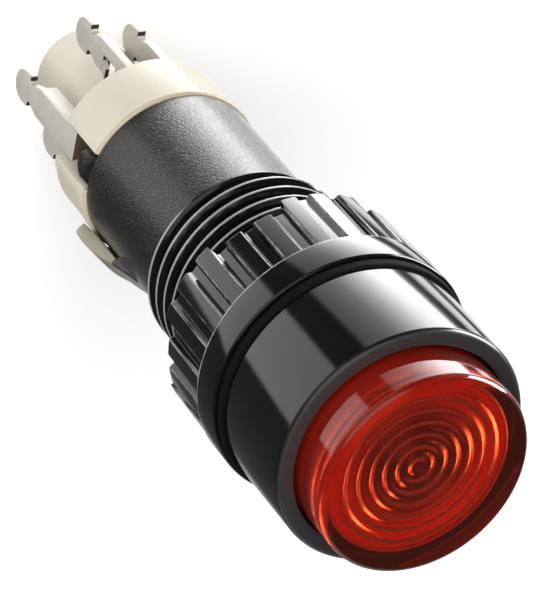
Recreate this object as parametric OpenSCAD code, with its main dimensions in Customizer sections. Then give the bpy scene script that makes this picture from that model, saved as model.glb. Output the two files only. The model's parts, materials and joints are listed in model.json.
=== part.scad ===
// Panel-mounted illuminated push button with a red lens, a ring nut and a plug-in lamp.
// The panel's front face is at z = 0, +Z points out of the panel and the axis is the button's own.

/* [Button front] */
// Diameter of the collar that rests on the panel
collar_d = 22.5; // [21:0.1:26]
// Height of the collar above the panel
collar_h = 9.7; // [8.8:0.1:13]
// Wall between the lens and the collar's outside
collar_wall = 1.5; // [1.1:0.1:1.9]
// Rounding of the collar's front edge
collar_edge_r = 0.5; // [0.2:0.1:0.8]
// Height that the lens stands proud of the collar
lens_proud = 4.35; // [3.6:0.05:5.4]
// Full height of the lens cap
lens_h = 5.85; // [5.2:0.05:7]
// Thickness of the lens's clear front
lens_front_t = 2.7; // [2:0.1:3.2]
// Thickness of the lens's side wall
lens_wall = 1.25; // [1.2:0.05:1.9]
// Rounding of the lens's front edge
lens_edge_r = 0.4; // [0.2:0.1:1.2]
// Spacing of the ring grooves inside the lens front
ring_pitch = 1.17; // [1.1:0.01:1.5]
// Depth of the ring grooves
ring_depth = 0.3; // [0.15:0.05:0.45]
// Travel of the button
travel = 3; // [2:0.1:3.6]

/* [Panel fixing] */
// Outside diameter of the thread
thread_d = 18; // [17.4:0.1:19.4]
// Length of the threaded neck behind the panel face
thread_len = 20.3; // [18.5:0.1:24]
// Pitch of the thread
thread_pitch = 1.5; // [1.25:0.05:2]
// Depth of the thread
thread_depth = 0.85; // [0.5:0.05:0.9]
// Width of the thread's crests and roots
thread_crest = 0.3; // [0.2:0.05:0.5]
// Thickness of the panel gasket
gasket_t = 0.95; // [0.5:0.05:1.5]
// Width that the gasket shows beyond the collar
gasket_lip = 0.25; // [0.1:0.05:0.6]
// Width that the ring nut shows beyond the collar
nut_lip = 0.55; // [0.35:0.05:1.5]
// Height of the ring nut
nut_h = 10.3; // [8:0.1:12]
// Height of the nut's smooth front flange
nut_flange_h = 3.1; // [2:0.1:4]
// Number of grip ribs round the nut
rib_count = 25; // [15:1:30]
// Depth of the grooves between the ribs
rib_depth = 0.5; // [0.3:0.05:0.8]
// Draft of the ribs towards the rear, on the radius
rib_draft = 0.3; // [0:0.05:0.4]
// Number of spanner notches in the nut's rear edge
notch_count = 5; // [3:1:6]
// Depth of the spanner notches
notch_depth = 1.15; // [0.8:0.05:2]
// Angle that the nut stands at
nut_angle = 122; // [0:1:360]

/* [Barrel] */
// Diameter of the barrel behind the thread
barrel_d = 16.1; // [15.6:0.1:17]
// Length of the barrel behind the thread
barrel_len = 13.1; // [11.5:0.1:17]
// Wall of the barrel round the contact chamber
barrel_wall = 0.7; // [0.6:0.05:0.9]
// Width of the ledge that stops the contact carrier
stop_ledge = 0.55; // [0.4:0.05:0.8]
// Depth of that ledge below the panel face
guide_len = 14; // [12.5:0.1:15]
// Width of the two tongues that key the terminal base
tongue_w = 2.5; // [1.8:0.1:2.8]
// Length of the two tongues
tongue_len = 2.4; // [1.5:0.1:2.8]
// Width of the locking clip on the side of the barrel
clip_w = 3; // [2.4:0.1:3.6]
// Length of the locking clip
clip_len = 6.2; // [5.4:0.1:7]
// Height of the locking clip's bow above the barrel
clip_bulge = 1.4; // [1.3:0.05:1.8]
// Thickness of the clip's sheet
clip_t = 0.4; // [0.3:0.05:0.5]
// Length of the moulded ramp in front of the clip
ramp_len = 3.35; // [2.6:0.05:4]

/* [Plunger and contacts] */
// Depth of the reflector below the lens's inner face
reflector_depth = 1.5; // [1.2:0.1:2]
// Diameter of the mouth that the lamp's light comes through
mouth_d = 7.8; // [6.8:0.1:9]
// Wall of the reflector cup
cup_wall = 0.7; // [0.5:0.05:1]
// Wall of the plunger's tube
plunger_wall = 1.2; // [0.9:0.1:1.6]
// Thickness of the plunger's shoulder under the lens
shoulder_t = 1.6; // [1.2:0.1:2]
// Thickness of the contact carrier's flange
carrier_t = 3; // [2.4:0.1:3.4]
// Height of the carrier's spigot inside the plunger
spigot_h = 3; // [2:0.1:4]
// Length of the arm above the make bridge
make_arm_len = 3.45; // [3:0.05:4]
// Width of the contact bridges
bridge_w = 1.8; // [1.5:0.05:2]
// Thickness of the contact bridges
bridge_t = 0.4; // [0.3:0.05:0.6]
// Diameter of the contact rivets
rivet_d = 1; // [0.8:0.05:1.1]
// Height of the contact rivets
rivet_h = 0.3; // [0.2:0.05:0.4]
// Wire of the return spring
spring_wire_d = 0.5; // [0.4:0.05:0.6]
// Open turns of the return spring
spring_turns = 5; // [4:1:6]

/* [Terminals] */
// Thickness of the terminal strip
strip_t = 0.8; // [0.6:0.05:0.9]
// Width of the push-on tabs
tab_w = 2.8; // [2.4:0.1:3]
// Length of the tabs behind the base
tab_len = 10.3; // [9:0.1:13]
// Length of the tabs' round heads
tab_head_len = 2.55; // [2:0.05:3]
// Width that the heads stand out on each side
tab_head_lip = 0.1; // [0:0.05:0.2]
// Depth of the catch notches behind the heads
tab_notch_depth = 0.7; // [0.3:0.05:0.75]
// Length over which the tab widens again behind its notches
tab_notch_len = 1.9; // [1.2:0.1:2.4]
// Height that the barbs stand out of the contact strips
barb_out = 0.5; // [0.3:0.05:0.7]
// Length of the barbs
barb_len = 1.6; // [1.2:0.1:2]
// Width of the barbs
barb_w = 1.1; // [0.8:0.05:1.2]
// Width of the slots beside the barbs
barb_slot = 0.5; // [0.4:0.05:0.6]
// Length of the windows that the barbs are cut from
barb_window = 2.3; // [2:0.1:2.6]
// Width of the strips inside the base
leg_w = 1.5; // [1.2:0.1:1.7]
// Distance between the two strips of a contact pair
pair_span = 4.8; // [4.6:0.1:5.2]
// Distance from the make pair's middle to the axis, across the pair
make_shift = 0.4; // [0.2:0.1:0.6]
// Distance from the break pair's middle to the axis, across the pair
break_shift = 1; // [0.7:0.1:1.1]
// Distance from the lamp tabs to the edge of the base
lamp_tab_inset = 1.15; // [0.9:0.05:1.3]
// Thickness of the fold behind the lamp tabs
lamp_fold_t = 0.9; // [0.6:0.05:1]
// Distance from the barrel's tongue to the lamp strip
lamp_strip_gap = 1.9; // [0.6:0.1:2.2]

/* [Terminal base] */
// Thickness of the base's flange
flange_t = 6.05; // [5.4:0.1:7.5]
// Step from the barrel to the base's flange
flange_lip = 0.2; // [0.1:0.05:0.4]
// Bevel of the flange's edges
flange_bevel = 0.15; // [0.1:0.05:0.5]
// Depth of the two side recesses of the flange
recess_depth = 0.15; // [0.1:0.05:0.5]
// Height of the flange's front rim above those recesses
recess_rim = 1.5; // [1:0.1:3]
// Width of the side slots for the lamp tabs
lamp_slot_w = 3.5; // [3.2:0.1:3.8]
// Length of the lamp tube behind the flange
tube_len = 12.65; // [11:0.1:15]
// Wall of the lamp tube
tube_wall = 1.1; // [0.9:0.05:1.2]
// Floor of the lamp tube
tube_floor = 1.2; // [0.8:0.1:2]

/* [Lamp] */
// Diameter of the lamp
lamp_d = 5.4; // [5:0.1:5.8]
// Length of the lamp
lamp_len = 30; // [27:0.5:33]
// Length of the lamp's base
lamp_base_len = 14.5; // [13.7:0.1:16]
// Thickness of the lamp's contact plates
plate_t = 0.15; // [0.1:0.05:0.2]

/* [Fits] */
// Gap between the lens and the collar
lens_gap = 0.2; // [0.15:0.05:0.35]
// Gap round the parts that slide
slide_gap = 0.1; // [0.05:0.01:0.15]
// Gap between parts that plug together
seat_gap = 0.05; // [0.02:0.01:0.08]
// Gap between the nut's bore and the thread
nut_gap = 0.05; // [0.02:0.01:0.09]
// Gap at a stop that has not been reached
stop_gap = 0.15; // [0.05:0.05:0.3]
// Room left between parts that pass each other
pass_gap = 0.3; // [0.25:0.05:0.4]

/* [Hidden] */
$fn = 96;

black = [0.05, 0.05, 0.055];
rubber_black = [0.09, 0.085, 0.08];
red = [0.72, 0.06, 0.05];
cream = [0.9, 0.87, 0.79];
white = [0.93, 0.92, 0.89];
tinned = [0.72, 0.7, 0.66];
bronze = [0.45, 0.45, 0.39];
silver = [0.85, 0.85, 0.86];
glass = [0.85, 0.87, 0.88];

// A small overcut, so that cuts pass through the faces they open
over = 0.5;

// Radii, from the outside in
collar_r = collar_d/2;
well_r = collar_r - collar_wall;
lens_r = well_r - lens_gap;
lens_in_r = lens_r - lens_wall;
cup_r = lens_in_r - slide_gap;
thread_r = thread_d/2;
barrel_r = barrel_d/2;
chamber_r = barrel_r - barrel_wall;
carrier_r = chamber_r - slide_gap;
guide_r = chamber_r - stop_ledge;
plunger_r = guide_r - slide_gap;
plunger_in_r = plunger_r - plunger_wall;
mouth_r = mouth_d/2;
lamp_r = lamp_d/2;
lamp_hole_r = lamp_r + plate_t + pass_gap;
lamp_bore_r = lamp_r + plate_t + slide_gap;
tube_r = lamp_bore_r + tube_wall;
spring_r = lamp_hole_r + spring_wire_d;
spring_out_r = spring_r + spring_wire_d/2;
plug_r = chamber_r - seat_gap;
flange_r = barrel_r + flange_lip;
recess_r = flange_r - recess_depth;
nut_r = collar_r + nut_lip;
nut_bore_r = thread_r + nut_gap;

// Heights, from the front to the rear
lens_top = collar_h + lens_proud;
lens_face = lens_top - lens_front_t;
lens_bottom = lens_top - lens_h;
reflector_z = lens_face - reflector_depth;
cup_top = lens_face - pass_gap;
shoulder_z = lens_bottom - shoulder_t;
well_floor = shoulder_z - travel - pass_gap;
carrier_top = -guide_len - stop_gap;
carrier_bottom = carrier_top - carrier_t;
thread_end = -thread_len;
barrel_end = thread_end - barrel_len;
flange_end = barrel_end - flange_t;
tube_end = flange_end - tube_len;
tab_tip = flange_end - tab_len;
nut_front = -gasket_t - seat_gap;
nut_rear = nut_front - nut_h;

// The break contacts are closed at rest, the make contacts close at the end of the travel
break_strip_top = carrier_bottom - travel - pass_gap;
break_fixed_top = break_strip_top - strip_t;
break_moving_top = break_fixed_top - rivet_h - seat_gap;
break_bridge_top = break_moving_top - rivet_h;
make_bridge_top = carrier_bottom - make_arm_len;
make_moving_top = make_bridge_top - bridge_t;
make_fixed_top = make_moving_top - rivet_h - travel - seat_gap;
make_strip_top = make_fixed_top - rivet_h;
plug_room = 1.5;
plug_top = min(make_strip_top - strip_t, break_bridge_top - bridge_t - travel) - plug_room;

// Places of the contact pairs: the strips stand either side of the bridge
bridge_len = pair_span - strip_t - 2*pass_gap;
rivet_x = bridge_len/2 - rivet_d/2;
pair_y = spring_out_r + pass_gap + bridge_w/2;
arm_w = 2*(rivet_x - rivet_d/2 - pass_gap);
tab_shift_out = 0.75;
tab_shift_in = 0.4;
barb_drop = 2.45;
barb_root = flange_end - barb_drop - barb_window;

// Places of the lamp terminals in their side slots
lamp_tab_x = flange_r - lamp_tab_inset;
lamp_fold_x = strip_t/2 + lamp_fold_t - lamp_tab_x;
lamp_tab_y = 1.1;
lamp_strip_top = barrel_end - tongue_len - lamp_strip_gap;
lamp_bottom = tube_end + tube_floor + slide_gap;
lamp_base_top = lamp_bottom + lamp_base_len;
plate_angle = 70;

// Places of the side recesses, as angles round the axis
recess_start = 12;
recess_angle = 67;

// The locking clip reaches from a ramp on the barrel over the edge of the base
clip_angle = 225.5;
clip_overhang = 1.4;
clip_apex = 1.8;
clip_bow_r = 14;
clip_end_r = 0.4;
clip_rear = barrel_end - clip_overhang;
clip_front = clip_rear + clip_len;
clip_top_r = barrel_r + clip_bulge;
clip_under_r = flange_r + seat_gap;
clip_foot_r = barrel_r + seat_gap;
clip_foot = barrel_end + slide_gap;
clip_front_r = clip_height(clip_len - clip_apex);
clip_end_mid_r = clip_height(clip_apex - clip_end_r) - clip_end_r;

// Radius that the clip's bow reaches at a distance from its highest point
function clip_height(run) = clip_top_r - clip_bow_r + sqrt(pow(clip_bow_r, 2) - pow(run, 2));

// Outline of a turned disc from the axis to radius r, rounded at its upper outer edge
module rounded_section(r, bottom, top, edge) {
    translate([0, bottom]) square([r - edge, top - bottom]);
    translate([0, bottom]) square([r, top - bottom - edge]);
    translate([r - edge, top - edge]) circle(r = edge);
}

// Outline of a plain disc from the axis to radius r
module section(r, bottom, top) {
    translate([0, bottom]) square([r, top - bottom]);
}

// Upright sector between two angles, for cuts round the axis
module sector(start, angle, r, bottom, top) {
    reach = r/cos(angle/2);
    translate([0, 0, bottom])
        linear_extrude(top - bottom)
            polygon([[0, 0],
                reach*[cos(start), sin(start)],
                2*reach*[cos(start + angle/2), sin(start + angle/2)],
                reach*[cos(start + angle), sin(start + angle)]]);
}

// Block between two opposite corners
module block(low, high) {
    translate(low) cube(high - low);
}

// The same child twice, half a turn apart
module both_sides() {
    children();
    rotate([0, 0, 180]) children();
}

module housing() {
    color(black) {
        rotate_extrude() difference() {
            union() {
                rounded_section(collar_r, 0, collar_h, collar_edge_r);
                section(thread_r, thread_end, 0);
                section(barrel_r, barrel_end, thread_end);
            }
            section(well_r, well_floor, collar_h + over);
            section(guide_r, -guide_len, well_floor + over);
            section(chamber_r, barrel_end - over, -guide_len);
            thread_grooves();
        }
        both_sides() key_tongue();
        clip_ramp();
    }
}

// Outline of the thread's grooves, one for each pitch of the neck
module thread_grooves() {
    mouth = thread_pitch - thread_crest;
    for (z = [thread_end + thread_pitch/2 : thread_pitch : -thread_pitch])
        translate([thread_r, z])
            polygon([[-thread_depth, -thread_crest/2], [0, -mouth/2], [over, -mouth/2],
                [over, mouth/2], [0, mouth/2], [-thread_depth, thread_crest/2]]);
}

// Tongue on the rear of the barrel that enters the slot of the terminal base
module key_tongue() {
    intersection() {
        rotate_extrude() difference() {
            section(barrel_r, barrel_end - tongue_len, barrel_end);
            section(chamber_r, barrel_end - tongue_len - over, barrel_end + over);
        }
        block([-collar_r, lamp_tab_y - tongue_w/2, barrel_end - tongue_len - over],
            [0, lamp_tab_y + tongue_w/2, barrel_end + over]);
    }
}

// Moulded ramp that leads up to the locking clip and dies into the barrel
module clip_ramp() {
    root_r = barrel_r - barrel_wall/2;
    rear = clip_front + seat_gap;
    reach = ramp_len*(clip_front_r - root_r)/(clip_front_r - barrel_r);
    rotate([0, 0, clip_angle]) translate([0, clip_w/2, 0])
        rotate([90, 0, 0]) linear_extrude(clip_w)
            polygon([[root_r, rear], [clip_front_r, rear], [root_r, rear + reach]]);
}

// Bowed sheet clip that locks the terminal base in the barrel, hollow towards the barrel
module locking_clip() {
    color(bronze) rotate([0, 0, clip_angle]) difference() {
        clip_slice(clip_w, 0) {
            translate([clip_under_r, clip_rear + clip_end_r]) square([clip_bulge, clip_len - clip_end_r]);
            translate([clip_under_r, clip_rear]) square([clip_end_mid_r - clip_under_r, clip_len]);
            translate([clip_end_mid_r, clip_rear + clip_end_r]) circle(r = clip_end_r);
            translate([clip_foot_r, clip_foot]) square([clip_bulge, clip_front - clip_foot]);
        }
        clip_slice(clip_w - 2*clip_t, clip_t)
            translate([clip_under_r - over, clip_rear + clip_t]) square([clip_bulge + over, clip_len]);
    }
}

// Slice of the clip's bow, a wall thinner than its outside, cut to the outline of the children
module clip_slice(wide, wall) {
    translate([0, wide/2, 0]) rotate([90, 0, 0]) linear_extrude(wide) intersection() {
        translate([clip_top_r - clip_bow_r, clip_rear + clip_apex]) circle(r = clip_bow_r - wall);
        union() children();
    }
}

module panel_gasket() {
    color(rubber_black) rotate_extrude() difference() {
        section(collar_r + gasket_lip, -gasket_t, 0);
        section(thread_r + slide_gap, -gasket_t - over, over);
    }
}

// Points of the ribbed outline of the nut, four for each rib, which reach past the nut's own radius
function rib_outline(turn) =
    let (pitch = 360/rib_count, top = 0.5*pitch, flank = 0.13*pitch)
    let (foot_r = nut_r - rib_depth, reach_r = nut_r + rib_depth)
    [for (i = [0 : rib_count - 1])
        for (corner = [[foot_r, -flank], [reach_r, flank], [reach_r, top - flank], [foot_r, top + flank]])
            corner[0]*[cos(turn + i*pitch + corner[1]), sin(turn + i*pitch + corner[1])]];

module ring_nut() {
    flange_rear = nut_front - nut_flange_h;
    notch_angle = 180/notch_count;
    rib_turn = 4;
    color(black) difference() {
        union() {
            translate([0, 0, flange_rear]) cylinder(r = nut_r, h = nut_flange_h);
            intersection() {
                translate([0, 0, nut_rear])
                    linear_extrude(nut_h - nut_flange_h)
                        polygon(rib_outline(nut_angle + rib_turn));
                translate([0, 0, nut_rear])
                    cylinder(r1 = nut_r - rib_draft, r2 = nut_r - seat_gap, h = nut_h - nut_flange_h);
            }
        }
        translate([0, 0, nut_rear - over]) cylinder(r = nut_bore_r, h = nut_h + 2*over);
        for (i = [0 : notch_count - 1])
            sector(nut_angle + i*360/notch_count - notch_angle/2, notch_angle, nut_r,
                nut_rear - over, nut_rear + notch_depth);
    }
}

module lens_cap() {
    groove_r = 0.55;
    groove_drop = groove_r - ring_depth;
    ring_first_r = 1.05;
    ring_count = floor((lens_in_r - ring_first_r - groove_r)/ring_pitch) + 1;
    color(red) rotate_extrude() difference() {
        rounded_section(lens_r, lens_bottom, lens_top, lens_edge_r);
        section(lens_in_r, lens_bottom - over, lens_face);
        for (i = [0 : ring_count - 1])
            translate([ring_first_r + i*ring_pitch, lens_face - groove_drop]) circle(r = groove_r);
    }
}

// Cup under the lens that throws the lamp's light forward, open in the middle
module reflector() {
    bottom = lens_bottom + seat_gap;
    color(white) rotate_extrude() difference() {
        section(cup_r, bottom, cup_top);
        section(cup_r - cup_wall, reflector_z, cup_top + over);
        section(mouth_r, bottom - over, reflector_z + over);
    }
}

// Plunger with a shoulder under the lens and a tube that guides it in the neck
module plunger() {
    color(black) rotate_extrude() difference() {
        union() {
            section(lens_r, shoulder_z, lens_bottom);
            section(plunger_r, carrier_top, shoulder_z + over);
        }
        section(mouth_r, shoulder_z - over, lens_bottom + over);
        section(plunger_in_r, carrier_top - over, shoulder_z);
    }
}

// Carrier that plugs into the plunger, stops against the ledge and holds the bridges on two arms
module contact_carrier() {
    color(black) {
        rotate_extrude() difference() {
            union() {
                section(carrier_r, carrier_bottom, carrier_top);
                section(plunger_in_r - seat_gap, carrier_bottom, carrier_top + spigot_h);
            }
            section(lamp_hole_r, carrier_bottom - over, carrier_top + spigot_h + over);
        }
        bridge_arm(make_shift, make_bridge_top);
        rotate([0, 0, 180]) bridge_arm(break_shift, break_bridge_top);
    }
}

// Arm from the carrier's flange down to a bridge, sunk into the flange
module bridge_arm(shift, bottom) {
    block([shift - arm_w/2, pair_y - bridge_w/2, bottom],
        [shift + arm_w/2, pair_y + bridge_w/2, carrier_bottom + over]);
}

// Points of one ring of the spring wire, at an angle and height on the coil
function wire_ring(angle, height, sides) =
    [for (k = [0 : sides - 1])
        let (out = spring_r + spring_wire_d/2*cos(360*k/sides))
        [out*cos(angle), out*sin(angle), height + spring_wire_d/2*sin(360*k/sides)]];

// Height on the coil: closed turns at the two ends, open turns between them
function coil_height(turn, low, high) =
    let (closed = 1.2*spring_wire_d, open = (high - low - 2*closed)/spring_turns)
    turn < 1 ? low + turn*closed :
    turn > 1 + spring_turns ? high - (2 + spring_turns - turn)*closed :
    low + closed + (turn - 1)*open;

// Compression spring round the lamp, between the base and the contact carrier
module return_spring() {
    sides = 8;
    steps = 20;
    last = (spring_turns + 2)*steps;
    low = plug_top + spring_wire_d/2;
    high = carrier_bottom - spring_wire_d/2;
    points = [for (i = [0 : last])
        each wire_ring(360*i/steps, coil_height(i/steps, low, high), sides)];
    sleeve = [for (i = [0 : last - 1], k = [0 : sides - 1])
        let (next = (k + 1) % sides)
        [i*sides + k, i*sides + next, (i + 1)*sides + next, (i + 1)*sides + k]];
    start_cap = [for (k = [0 : sides - 1]) sides - 1 - k];
    end_cap = [for (k = [0 : sides - 1]) last*sides + k];
    color(silver) polyhedron(points, concat(sleeve, [start_cap, end_cap]));
}

// Flat spring bridge between the two contacts of a pair
module bridge(shift, top) {
    color(bronze)
        block([shift - bridge_len/2, pair_y - bridge_w/2, top - bridge_t],
            [shift + bridge_len/2, pair_y + bridge_w/2, top]);
}

// The two rivets of a pair, with their lower face at a height
module rivet_pair(shift, bottom) {
    color(silver) for (side = [-1, 1])
        translate([shift + side*rivet_x, pair_y, bottom]) cylinder(d = rivet_d, h = rivet_h);
}

// Outline of a push-on tab: round head, catch notches behind it and a shank that widens again
module tab_outline(top, tip) {
    head_r = tab_w/2 + tab_head_lip;
    neck = tab_w/2 - tab_notch_depth;
    shank = tip + tab_head_len + tab_notch_len;
    translate([0, tip + head_r]) circle(r = head_r);
    translate([-head_r, tip + head_r]) square([2*head_r, tab_head_len - head_r]);
    polygon([[-neck, tip + head_r], [neck, tip + head_r], [neck, tip + tab_head_len], [tab_w/2, shank],
        [tab_w/2, top], [-tab_w/2, top], [-tab_w/2, shank], [-neck, tip + tab_head_len]]);
}

// Tab standing on its strip's thickness, with its middle at x and y
module tab(x, y, top, tip) {
    translate([x - strip_t/2, y, 0])
        rotate([90, 0, 90]) linear_extrude(strip_t) tab_outline(top, tip);
}

// Contact strip: tab behind the base, leg through it and foot under or over the bridge
module contact_terminal(shift, side, foot_top) {
    x = shift + side*pair_span/2;
    y = pair_y + (side < 0 ? tab_shift_out : -tab_shift_in);
    barb_y = y - tab_w/2;
    foot_end = shift + side*(rivet_x - rivet_d/2);
    foot_start = x + side*strip_t/2;
    color(tinned) {
        difference() {
            tab(x, y, flange_end, tab_tip);
            block([x - strip_t, barb_y - over, barb_root],
                [x + strip_t, barb_y + barb_w + barb_slot, barb_root + barb_window]);
        }
        barb(x, barb_y, side);
        block([x - strip_t/2, pair_y - leg_w/2, flange_end - over],
            [x + strip_t/2, pair_y + leg_w/2, foot_top]);
        block([min(foot_start, foot_end), pair_y - leg_w/2, foot_top - strip_t],
            [max(foot_start, foot_end), pair_y + leg_w/2, foot_top]);
    }
}

// Barb at the edge of its strip that leans out, rooted in the strip behind it
module barb(x, y, side) {
    root = barb_root - over;
    free_end = barb_root + barb_len;
    lean = strip_t/2 + barb_out;
    translate([x, y + barb_w, 0]) rotate([90, 0, 0]) linear_extrude(barb_w)
        polygon([[-side*strip_t/4, root], [side*strip_t/4, root],
            [side*lean, free_end], [side*(lean - strip_t/2), free_end]]);
}

// Lamp strip: tab in the side slot of the base, folded double, and a foot that reaches the lamp
module lamp_terminal() {
    plate_r = lamp_r + plate_t;
    foot_low_y = lamp_tab_y - tab_w/2;
    fold_end = tab_tip + tab_head_len + tab_notch_len;
    color(tinned) {
        tab(-lamp_tab_x, lamp_tab_y, lamp_strip_top, tab_tip);
        block([-lamp_tab_x, foot_low_y, fold_end],
            [lamp_fold_x, foot_low_y + tab_w, lamp_strip_top]);
        block([-lamp_tab_x, foot_low_y, lamp_strip_top - strip_t],
            [-plate_r - seat_gap, foot_low_y + leg_w, lamp_strip_top]);
    }
}

// Moulded base: plug inside the barrel, slotted flange behind it and the lamp's tube
module terminal_base() {
    color(cream) difference() {
        rotate_extrude() difference() {
            union() {
                section(plug_r, barrel_end - over, plug_top);
                flange_section();
                section(tube_r, tube_end, flange_end + over);
            }
            section(lamp_bore_r, tube_end + tube_floor, plug_top + over);
        }
        for (side = [-1, 1]) {
            leg_slot(make_shift, side);
            rotate([0, 0, 180]) leg_slot(break_shift, side);
        }
        both_sides() {
            lamp_slot();
            side_recess();
        }
    }
}

// Outline of the flange, bevelled at both edges
module flange_section() {
    polygon([[0, flange_end], [flange_r - flange_bevel, flange_end],
        [flange_r, flange_end + flange_bevel], [flange_r, barrel_end - flange_bevel],
        [flange_r - flange_bevel, barrel_end], [0, barrel_end]]);
}

// Slot for the leg of a contact strip
module leg_slot(shift, side) {
    x = shift + side*pair_span/2;
    block([x - strip_t/2 - seat_gap, pair_y - leg_w/2 - seat_gap, flange_end - over],
        [x + strip_t/2 + seat_gap, pair_y + leg_w/2 + seat_gap, plug_top + over]);
}

// Side slot for a lamp tab and the barrel's tongue, with a passage to the lamp
module lamp_slot() {
    foot_low_y = lamp_tab_y - tab_w/2;
    block([-collar_r, lamp_tab_y - lamp_slot_w/2, flange_end - over],
        [lamp_fold_x + slide_gap, lamp_tab_y + lamp_slot_w/2, barrel_end]);
    block([-lamp_tab_x, foot_low_y - slide_gap, lamp_strip_top - strip_t - slide_gap],
        [-lamp_r, foot_low_y + leg_w + slide_gap, lamp_strip_top + slide_gap]);
}

// Shallow recess in the side of the flange, behind its front rim
module side_recess() {
    difference() {
        sector(recess_start, recess_angle, flange_r, flange_end - over, barrel_end - recess_rim);
        translate([0, 0, flange_end - 2*over]) cylinder(r = recess_r, h = flange_t + 4*over);
    }
}

module lamp_bulb() {
    lamp_top = lamp_bottom + lamp_len;
    color(glass) {
        translate([0, 0, lamp_base_top]) cylinder(r = lamp_r, h = lamp_top - lamp_r - lamp_base_top);
        translate([0, 0, lamp_top - lamp_r]) sphere(r = lamp_r);
    }
}

module lamp_base() {
    color(black) translate([0, 0, lamp_bottom]) cylinder(r = lamp_r, h = lamp_base_len);
}

// Two thin plates on the sides of the lamp's base, one for each lamp terminal
module lamp_contact_plates() {
    plate_top = lamp_base_top - pass_gap;
    color(silver) both_sides() intersection() {
        rotate_extrude() difference() {
            section(lamp_r + plate_t, lamp_bottom, plate_top);
            section(lamp_r, lamp_bottom - over, plate_top + over);
        }
        sector(180 - plate_angle/2, plate_angle, lamp_bore_r, lamp_bottom - over, plate_top + over);
    }
}

housing();
panel_gasket();
ring_nut();
lens_cap();
reflector();
plunger();
contact_carrier();
return_spring();
bridge(make_shift, make_bridge_top);  // make_bridge
rivet_pair(make_shift, make_moving_top - rivet_h);  // make_bridge_contacts
rotate([0, 0, 180]) bridge(break_shift, break_bridge_top);  // break_bridge
rotate([0, 0, 180]) rivet_pair(break_shift, break_bridge_top);  // break_bridge_contacts
terminal_base();
contact_terminal(make_shift, -1, make_strip_top);  // make_terminal_1
contact_terminal(make_shift, 1, make_strip_top);  // make_terminal_2
rotate([0, 0, 180]) contact_terminal(break_shift, -1, break_strip_top);  // break_terminal_1
rotate([0, 0, 180]) contact_terminal(break_shift, 1, break_strip_top);  // break_terminal_2
rivet_pair(make_shift, make_strip_top);  // make_fixed_contacts
rotate([0, 0, 180]) rivet_pair(break_shift, break_fixed_top - rivet_h);  // break_fixed_contacts
lamp_terminal();  // lamp_terminal_1
rotate([0, 0, 180]) lamp_terminal();  // lamp_terminal_2
lamp_bulb();
lamp_base();
lamp_contact_plates();
locking_clip();
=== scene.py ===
"""Looks of a panel push button: a ringed red lens in a black collar, a ribbed nut and a cream base."""
import json
import math

import bmesh
import bpy
from mathutils import Matrix, Vector


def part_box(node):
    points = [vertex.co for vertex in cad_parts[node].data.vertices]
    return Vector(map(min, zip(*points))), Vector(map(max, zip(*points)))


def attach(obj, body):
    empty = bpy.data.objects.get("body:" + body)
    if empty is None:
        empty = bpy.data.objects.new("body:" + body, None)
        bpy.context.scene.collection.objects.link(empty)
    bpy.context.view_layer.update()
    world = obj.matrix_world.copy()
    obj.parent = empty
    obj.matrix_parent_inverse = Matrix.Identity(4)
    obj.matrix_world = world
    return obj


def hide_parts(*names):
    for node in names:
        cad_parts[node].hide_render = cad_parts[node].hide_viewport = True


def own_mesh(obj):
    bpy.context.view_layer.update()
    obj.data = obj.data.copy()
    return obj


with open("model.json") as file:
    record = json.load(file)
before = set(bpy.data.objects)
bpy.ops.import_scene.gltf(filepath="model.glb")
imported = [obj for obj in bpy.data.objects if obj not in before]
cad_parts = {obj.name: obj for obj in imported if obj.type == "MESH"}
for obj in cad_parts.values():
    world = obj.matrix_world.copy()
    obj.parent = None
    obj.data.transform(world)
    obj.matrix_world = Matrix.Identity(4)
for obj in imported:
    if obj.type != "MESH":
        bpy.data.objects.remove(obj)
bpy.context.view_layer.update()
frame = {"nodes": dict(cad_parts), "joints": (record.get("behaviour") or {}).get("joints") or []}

MM = 0.001
TURN = 2 * math.pi
CIRCLE = 360.0

# Sizes that the dressed pieces share with the solids, in millimetres and degrees
WELL_R = 9.75
WELL_FLOOR = 3.3
GUIDE_R = 6.8
GUIDE_END = -14.0
CHAMBER_R = 7.35
COLLAR_EDGE = 0.5
THREAD_R = 9.0
THREAD_PITCH = 1.5
THREAD_DEPTH = 0.85
THREAD_END = -20.3
BARREL_R = 8.05
BARREL_END = -33.4
TONGUE_LENGTH = 2.4
TONGUE_WIDTH = 2.5
TONGUE_Y = 1.1
CLIP_ANGLE = 225.5
CLIP_WIDTH = 3.0
RAMP_TOP_R = 8.74
RAMP_LENGTH = 3.35
GASKET_GAP = 0.1
NUT_R = 11.8
NUT_BORE_R = 9.05
NUT_FLANGE = 3.1
NUT_ANGLE = 122.0
RIBS = 25
RIB_TURN = 4.0
RIB_DEPTH = 0.5
RIB_DRAFT = 0.3
NOTCHES = 5
NOTCH_DEPTH = 1.15
LENS_FACE = 11.35
LENS_IN_R = 8.3
RING_PITCH = 1.17
RING_FIRST = 1.05
RING_COUNT = 6
RING_DEPTH = 0.3

# Sizes read from the frame's nodes and worked out from them, in millimetres
collar_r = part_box("housing")[1].x / MM
collar_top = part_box("housing")[1].z / MM
lens_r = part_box("lens_cap")[1].x / MM
lens_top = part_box("lens_cap")[1].z / MM
lens_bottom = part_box("lens_cap")[0].z / MM
gasket_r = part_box("panel_gasket")[1].x / MM
gasket_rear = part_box("panel_gasket")[0].z / MM
nut_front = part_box("ring_nut")[1].z / MM
nut_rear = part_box("ring_nut")[0].z / MM
clip_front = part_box("locking_clip")[1].z / MM
tube_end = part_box("terminal_base")[0].z / MM
rib_front = nut_front - NUT_FLANGE
ring_top = LENS_FACE + RING_DEPTH

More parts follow.
